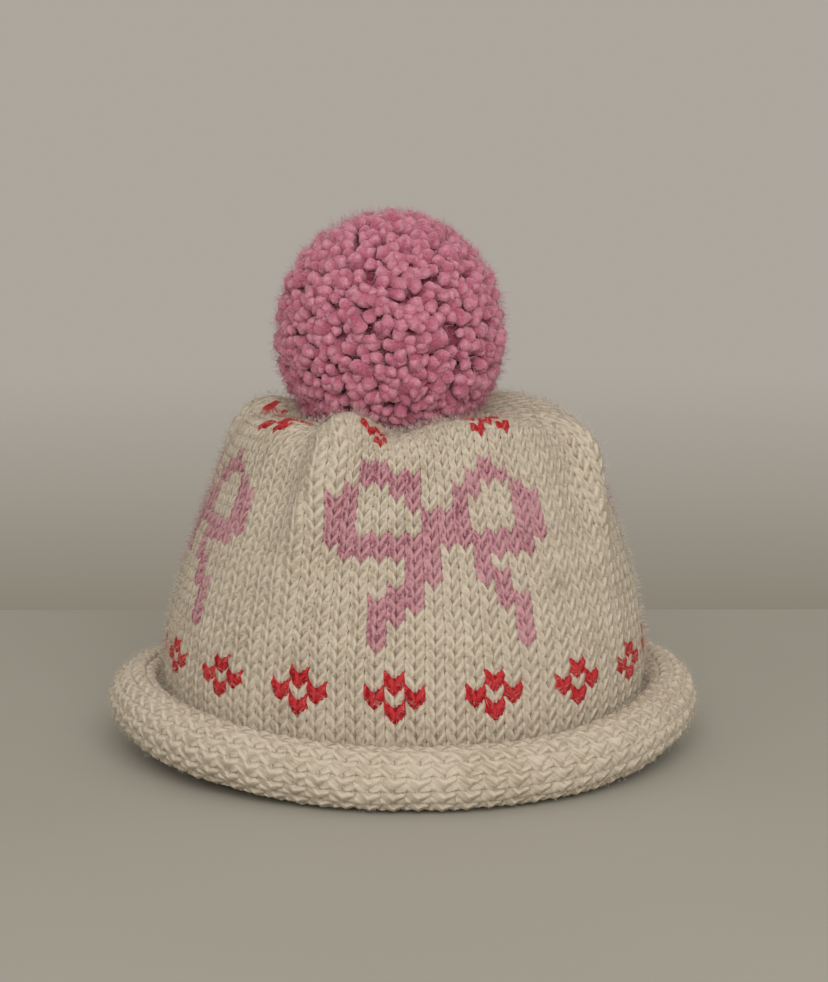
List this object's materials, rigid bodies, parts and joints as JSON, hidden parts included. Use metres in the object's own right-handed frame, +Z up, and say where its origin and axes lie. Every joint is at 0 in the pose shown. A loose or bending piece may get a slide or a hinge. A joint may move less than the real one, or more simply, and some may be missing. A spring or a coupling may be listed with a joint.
{
  "type": "knit hat",
  "caption": "Hand-knit baby hat with an outward-rolled brim, panelled crown with bow and flower colourwork, and a yarn pompom.",
  "frame": {"origin": "on the surface that the brim rests on, below the middle of the crown", "axes": "+Z up towards the pompom, -Y towards the front panel's bow, +X to the viewer's right"},
  "size_m": [0.1564, 0.1572, 0.14],
  "materials": {
    "cream_wool": "soft brushed wool, stockinette",
    "pink_wool": "soft wool, knit bows and cut pompom ends",
    "red_wool": "soft wool, knit flowers"
  },
  "bodies": {
    "root": {"crown": "cream_wool", "rolled_brim": "cream_wool", "pompom": "pink_wool"}
  },
  "joints": []
}
